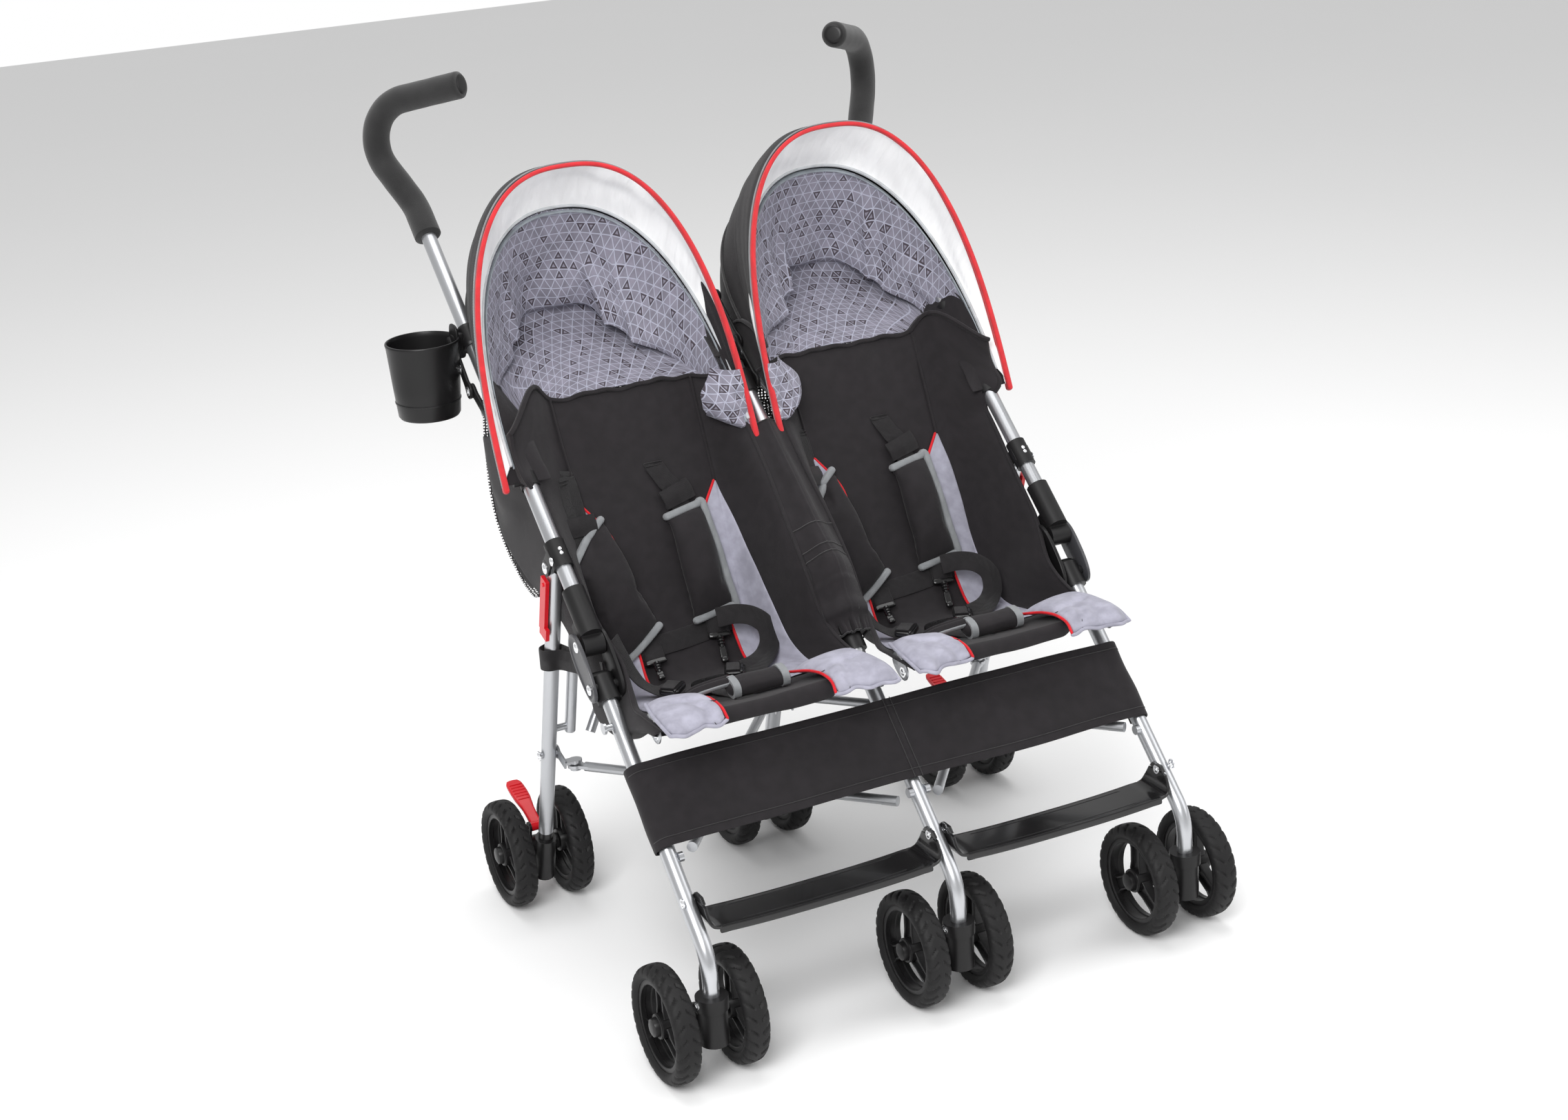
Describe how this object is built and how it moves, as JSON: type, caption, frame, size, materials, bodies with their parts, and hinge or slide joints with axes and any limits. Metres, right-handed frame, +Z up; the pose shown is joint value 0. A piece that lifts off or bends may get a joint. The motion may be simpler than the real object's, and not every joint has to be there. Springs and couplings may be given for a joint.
{
  "type": "side-by-side double umbrella stroller",
  "caption": "Lightweight side-by-side double stroller with sling seats, folding canopies, swivel front wheels, hooked handles and crossed bars that fold it up.",
  "frame": {"origin": "on the floor under the middle of the whole buggy", "axes": "+Z up, -Y towards the front wheels, +X to the rider-facing right side as seen from the front left"},
  "size_m": [0.809, 0.8433, 1.0519],
  "materials": {
    "tube": "satin",
    "black_plastic": "satin",
    "red_plastic": "gloss",
    "foam": "matte",
    "wheel": "matte",
    "black_fabric": "matte",
    "grey_fabric": "matte",
    "webbing": "matte"
  },
  "bodies": {
    "mid_frame": {"upper_tube_middle": "tube", "tube_fittings_middle": "black_plastic", "seat_left": "black_fabric", "seat_right": "black_fabric", "canopy_hoods": "black_fabric", "storage_bag": "black_fabric"},
    "left_frame": {"upper_tube_left": "tube", "tube_fittings_left": "black_plastic", "grip_left": "foam", "cup_holder": "black_plastic"},
    "right_frame": {"upper_tube_right": "tube", "tube_fittings_right": "black_plastic", "grip_right": "foam"},
    "left_front_leg": {"knuckle_fork_left": "black_plastic", "front_leg_left": "tube"},
    "left_rear_leg": {"rear_leg_left": "tube"},
    "left_caster": {"caster_housing_left": "black_plastic"},
    "left_floor_bracket": {"floor_bracket_left": "tube"},
    "left_back_bracket": {"back_bracket_left": "tube"},
    "middle_front_leg": {"knuckle_fork_middle": "black_plastic", "front_leg_middle": "tube", "calf_panel": "black_fabric", "footrests": "webbing"},
    "middle_rear_leg": {"rear_leg_middle": "tube"},
    "middle_caster": {"caster_housing_middle": "black_plastic"},
    "middle_floor_bracket": {"floor_bracket_middle": "tube"},
    "middle_back_bracket": {"back_bracket_middle": "tube"},
    "right_front_leg": {"knuckle_fork_right": "black_plastic", "front_leg_right": "tube"},
    "right_rear_leg": {"rear_leg_right": "tube"},
    "right_caster": {"caster_housing_right": "black_plastic"},
    "right_floor_bracket": {"floor_bracket_right": "tube"},
    "right_back_bracket": {"back_bracket_right": "tube"},
    "front_wheel_left_outer": {"front_wheel_left_outer": "wheel"},
    "rear_wheel_left_outer": {"rear_wheel_left_outer": "wheel"},
    "front_wheel_left_inner": {"front_wheel_left_inner": "wheel"},
    "rear_wheel_left_inner": {"rear_wheel_left_inner": "wheel"},
    "front_wheel_middle_left": {"front_wheel_middle_left": "wheel"},
    "rear_wheel_middle_left": {"rear_wheel_middle_left": "wheel"},
    "front_wheel_middle_right": {"front_wheel_middle_right": "wheel"},
    "rear_wheel_middle_right": {"rear_wheel_middle_right": "wheel"},
    "front_wheel_right_inner": {"front_wheel_right_inner": "wheel"},
    "rear_wheel_right_inner": {"rear_wheel_right_inner": "wheel"},
    "front_wheel_right_outer": {"front_wheel_right_outer": "wheel"},
    "rear_wheel_right_outer": {"rear_wheel_right_outer": "wheel"},
    "floor_bar_left_outer": {"floor_bar_left_outer": "tube"},
    "back_bar_left_outer": {"back_bar_left_outer": "tube"},
    "floor_bar_left_inner": {"floor_bar_left_inner": "tube"},
    "back_bar_left_inner": {"back_bar_left_inner": "tube"},
    "floor_bar_right_inner": {"floor_bar_right_inner": "tube"},
    "back_bar_right_inner": {"back_bar_right_inner": "tube"},
    "floor_bar_right_outer": {"floor_bar_right_outer": "tube"},
    "back_bar_right_outer": {"back_bar_right_outer": "tube"},
    "brake_pedal_left": {"brake_pedal_left": "red_plastic"},
    "fold_latch_left": {"fold_latch_left": "red_plastic"},
    "canopy_left": {"canopy_front_left": "grey_fabric"},
    "brake_pedal_right": {"brake_pedal_right": "red_plastic"},
    "fold_latch_right": {"fold_latch_right": "red_plastic"},
    "canopy_right": {"canopy_front_right": "grey_fabric"}
  },
  "joints": [
    {"name": "main_fold", "type": "hinge", "parent": "mid_frame", "child": "middle_front_leg", "pos_m": [0.023, -0.113, 0.443], "axis": [-1, 0, 0], "range_deg": [0, 145], "deforming": ["seat_left", "seat_right", "canopy_hoods", "canopy_front_left", "canopy_front_right", "calf_panel", "footrests", "storage_bag"]},
    {"name": "left_frame_slide", "type": "slide", "parent": "mid_frame", "child": "left_frame", "axis": [1, 0, 0], "range_m": [0, 0.19]},
    {"name": "left_knee", "type": "hinge", "parent": "left_frame", "child": "left_front_leg", "pos_m": [-0.297, -0.113, 0.443], "axis": [-1, 0, 0], "range_deg": [0, 145]},
    {"name": "right_frame_slide", "type": "slide", "parent": "mid_frame", "child": "right_frame", "axis": [-1, 0, 0], "range_m": [0, 0.19]},
    {"name": "right_knee", "type": "hinge", "parent": "right_frame", "child": "right_front_leg", "pos_m": [0.343, -0.113, 0.443], "axis": [-1, 0, 0], "range_deg": [0, 145]},
    {"name": "left_rear_leg_fold", "type": "hinge", "parent": "left_frame", "child": "left_rear_leg", "pos_m": [-0.297, -0.01676, 0.51079], "axis": [-1, 0, 0], "range_deg": [0, 58.93]},
    {"name": "left_floor_bracket_tilt", "type": "hinge", "parent": "left_rear_leg", "child": "left_floor_bracket", "pos_m": [-0.297, 0.07348, 0.23203], "axis": [-1, 0, 0], "range_deg": [0, 48.76]},
    {"name": "left_back_bracket_tilt", "type": "hinge", "parent": "left_frame", "child": "left_back_bracket", "pos_m": [-0.297, 0.154, 0.66187], "axis": [-1, 0, 0], "range_deg": [0, 31.23]},
    {"name": "left_caster_swivel", "type": "hinge", "parent": "left_front_leg", "child": "left_caster", "pos_m": [-0.297, -0.388, 0.09], "axis": [0, 0, 1], "continuous": true},
    {"name": "middle_rear_leg_fold", "type": "hinge", "parent": "mid_frame", "child": "middle_rear_leg", "pos_m": [0.023, -0.01676, 0.51079], "axis": [-1, 0, 0], "range_deg": [0, 58.93]},
    {"name": "middle_floor_bracket_tilt", "type": "hinge", "parent": "middle_rear_leg", "child": "middle_floor_bracket", "pos_m": [0.023, 0.07348, 0.23203], "axis": [-1, 0, 0], "range_deg": [0, 48.76]},
    {"name": "middle_back_bracket_tilt", "type": "hinge", "parent": "mid_frame", "child": "middle_back_bracket", "pos_m": [0.023, 0.154, 0.66187], "axis": [-1, 0, 0], "range_deg": [0, 31.23]},
    {"name": "middle_caster_swivel", "type": "hinge", "parent": "middle_front_leg", "child": "middle_caster", "pos_m": [0.023, -0.388, 0.09], "axis": [0, 0, 1], "continuous": true},
    {"name": "right_rear_leg_fold", "type": "hinge", "parent": "right_frame", "child": "right_rear_leg", "pos_m": [0.343, -0.01676, 0.51079], "axis": [-1, 0, 0], "range_deg": [0, 58.93]},
    {"name": "right_floor_bracket_tilt", "type": "hinge", "parent": "right_rear_leg", "child": "right_floor_bracket", "pos_m": [0.343, 0.07348, 0.23203], "axis": [-1, 0, 0], "range_deg": [0, 48.76]},
    {"name": "right_back_bracket_tilt", "type": "hinge", "parent": "right_frame", "child": "right_back_bracket", "pos_m": [0.343, 0.154, 0.66187], "axis": [-1, 0, 0], "range_deg": [0, 31.23]},
    {"name": "right_caster_swivel", "type": "hinge", "parent": "right_front_leg", "child": "right_caster", "pos_m": [0.343, -0.388, 0.09], "axis": [0, 0, 1], "continuous": true},
    {"name": "floor_bar_left_outer_yaw", "type": "hinge", "parent": "left_floor_bracket", "child": "floor_bar_left_outer", "pos_m": [-0.271, 0.051, 0.225], "axis": [0, -0.0562, -0.9984], "range_deg": [0, 26.92]},
    {"name": "back_bar_left_outer_yaw", "type": "hinge", "parent": "left_back_bracket", "child": "back_bar_left_outer", "pos_m": [-0.271, 0.154, 0.66187], "axis": [0, 0.9609, -0.277], "range_deg": [0, 24.16]},
    {"name": "floor_bar_left_inner_yaw", "type": "hinge", "parent": "middle_floor_bracket", "child": "floor_bar_left_inner", "pos_m": [-0.003, 0.051, 0.225], "axis": [0, 0.0562, 0.9984], "range_deg": [0, 26.92]},
    {"name": "back_bar_left_inner_yaw", "type": "hinge", "parent": "middle_back_bracket", "child": "back_bar_left_inner", "pos_m": [-0.003, 0.154, 0.66187], "axis": [0, -0.9609, 0.277], "range_deg": [0, 24.16]},
    {"name": "floor_bar_right_inner_yaw", "type": "hinge", "parent": "middle_floor_bracket", "child": "floor_bar_right_inner", "pos_m": [0.049, 0.051, 0.225], "axis": [0, -0.0562, -0.9984], "range_deg": [0, 26.92]},
    {"name": "back_bar_right_inner_yaw", "type": "hinge", "parent": "middle_back_bracket", "child": "back_bar_right_inner", "pos_m": [0.049, 0.154, 0.66187], "axis": [0, 0.9609, -0.277], "range_deg": [0, 24.16]},
    {"name": "floor_bar_right_outer_yaw", "type": "hinge", "parent": "right_floor_bracket", "child": "floor_bar_right_outer", "pos_m": [0.317, 0.051, 0.225], "axis": [0, 0.0562, 0.9984], "range_deg": [0, 26.92]},
    {"name": "back_bar_right_outer_yaw", "type": "hinge", "parent": "right_back_bracket", "child": "back_bar_right_outer", "pos_m": [0.317, 0.154, 0.66187], "axis": [0, -0.9609, 0.277], "range_deg": [0, 24.16]},
    {"name": "front_wheel_left_outer_spin", "type": "hinge", "parent": "left_caster", "child": "front_wheel_left_outer", "pos_m": [-0.3395, -0.3515, 0.07], "axis": [1, 0, 0], "continuous": true},
    {"name": "rear_wheel_left_outer_spin", "type": "hinge", "parent": "left_rear_leg", "child": "rear_wheel_left_outer", "pos_m": [-0.336, 0.1535, 0.07], "axis": [1, 0, 0], "continuous": true},
    {"name": "front_wheel_left_inner_spin", "type": "hinge", "parent": "left_caster", "child": "front_wheel_left_inner", "pos_m": [-0.2545, -0.3515, 0.07], "axis": [1, 0, 0], "continuous": true},
    {"name": "rear_wheel_left_inner_spin", "type": "hinge", "parent": "left_rear_leg", "child": "rear_wheel_left_inner", "pos_m": [-0.258, 0.1535, 0.07], "axis": [1, 0, 0], "continuous": true},
    {"name": "front_wheel_middle_left_spin", "type": "hinge", "parent": "middle_caster", "child": "front_wheel_middle_left", "pos_m": [-0.0195, -0.3515, 0.07], "axis": [1, 0, 0], "continuous": true},
    {"name": "rear_wheel_middle_left_spin", "type": "hinge", "parent": "middle_rear_leg", "child": "rear_wheel_middle_left", "pos_m": [-0.016, 0.1535, 0.07], "axis": [1, 0, 0], "continuous": true},
    {"name": "front_wheel_middle_right_spin", "type": "hinge", "parent": "middle_caster", "child": "front_wheel_middle_right", "pos_m": [0.0655, -0.3515, 0.07], "axis": [1, 0, 0], "continuous": true},
    {"name": "rear_wheel_middle_right_spin", "type": "hinge", "parent": "middle_rear_leg", "child": "rear_wheel_middle_right", "pos_m": [0.062, 0.1535, 0.07], "axis": [1, 0, 0], "continuous": true},
    {"name": "front_wheel_right_inner_spin", "type": "hinge", "parent": "right_caster", "child": "front_wheel_right_inner", "pos_m": [0.3005, -0.3515, 0.07], "axis": [1, 0, 0], "continuous": true},
    {"name": "rear_wheel_right_inner_spin", "type": "hinge", "parent": "right_rear_leg", "child": "rear_wheel_right_inner", "pos_m": [0.304, 0.1535, 0.07], "axis": [1, 0, 0], "continuous": true},
    {"name": "front_wheel_right_outer_spin", "type": "hinge", "parent": "right_caster", "child": "front_wheel_right_outer", "pos_m": [0.3855, -0.3515, 0.07], "axis": [1, 0, 0], "continuous": true},
    {"name": "rear_wheel_right_outer_spin", "type": "hinge", "parent": "right_rear_leg", "child": "rear_wheel_right_outer", "pos_m": [0.382, 0.1535, 0.07], "axis": [1, 0, 0], "continuous": true},
    {"name": "brake_left_press", "type": "hinge", "parent": "left_rear_leg", "child": "brake_pedal_left", "pos_m": [-0.297, 0.14794, 0.10151], "axis": [-1, 0, 0], "range_deg": [0, 16]},
    {"name": "fold_latch_left_turn", "type": "hinge", "parent": "left_rear_leg", "child": "fold_latch_left", "pos_m": [-0.309, -0.00937, 0.48796], "axis": [1, 0, 0], "range_deg": [0, 30]},
    {"name": "canopy_left_tilt", "type": "hinge", "parent": "mid_frame", "child": "canopy_left", "pos_m": [-0.297, 0.047, 0.6], "axis": [-1, 0, 0], "range_deg": [0, 20], "deforming": ["canopy_front_left", "canopy_hoods"]},
    {"name": "brake_right_press", "type": "hinge", "parent": "right_rear_leg", "child": "brake_pedal_right", "pos_m": [0.343, 0.14794, 0.10151], "axis": [-1, 0, 0], "range_deg": [0, 16]},
    {"name": "fold_latch_right_turn", "type": "hinge", "parent": "right_rear_leg", "child": "fold_latch_right", "pos_m": [0.355, -0.00937, 0.48796], "axis": [1, 0, 0], "range_deg": [0, 30]},
    {"name": "canopy_right_tilt", "type": "hinge", "parent": "mid_frame", "child": "canopy_right", "pos_m": [0.343, 0.047, 0.6], "axis": [-1, 0, 0], "range_deg": [0, 20], "deforming": ["canopy_front_right", "canopy_hoods"]}
  ],
  "couplings": [
    {"joint": "left_frame_slide", "follows": "main_fold", "m_per_rad": 0.075077},
    {"joint": "left_knee", "follows": "main_fold", "ratio": 1},
    {"joint": "right_frame_slide", "follows": "main_fold", "m_per_rad": 0.075077},
    {"joint": "right_knee", "follows": "main_fold", "ratio": 1},
    {"joint": "left_rear_leg_fold", "follows": "main_fold", "ratio": 0.4064},
    {"joint": "left_floor_bracket_tilt", "follows": "main_fold", "ratio": 0.33627},
    {"joint": "left_back_bracket_tilt", "follows": "main_fold", "ratio": 0.21537},
    {"joint": "middle_rear_leg_fold", "follows": "main_fold", "ratio": 0.4064},
    {"joint": "middle_floor_bracket_tilt", "follows": "main_fold", "ratio": 0.33627},
    {"joint": "middle_back_bracket_tilt", "follows": "main_fold", "ratio": 0.21537},
    {"joint": "right_rear_leg_fold", "follows": "main_fold", "ratio": 0.4064},
    {"joint": "right_floor_bracket_tilt", "follows": "main_fold", "ratio": 0.33627},
    {"joint": "right_back_bracket_tilt", "follows": "main_fold", "ratio": 0.21537},
    {"joint": "floor_bar_left_outer_yaw", "follows": "main_fold", "ratio": 0.18564},
    {"joint": "back_bar_left_outer_yaw", "follows": "main_fold", "ratio": 0.16661},
    {"joint": "floor_bar_left_inner_yaw", "follows": "main_fold", "ratio": 0.18564},
    {"joint": "back_bar_left_inner_yaw", "follows": "main_fold", "ratio": 0.16661},
    {"joint": "floor_bar_right_inner_yaw", "follows": "main_fold", "ratio": 0.18564},
    {"joint": "back_bar_right_inner_yaw", "follows": "main_fold", "ratio": 0.16661},
    {"joint": "floor_bar_right_outer_yaw", "follows": "main_fold", "ratio": 0.18564},
    {"joint": "back_bar_right_outer_yaw", "follows": "main_fold", "ratio": 0.16661}
  ]
}
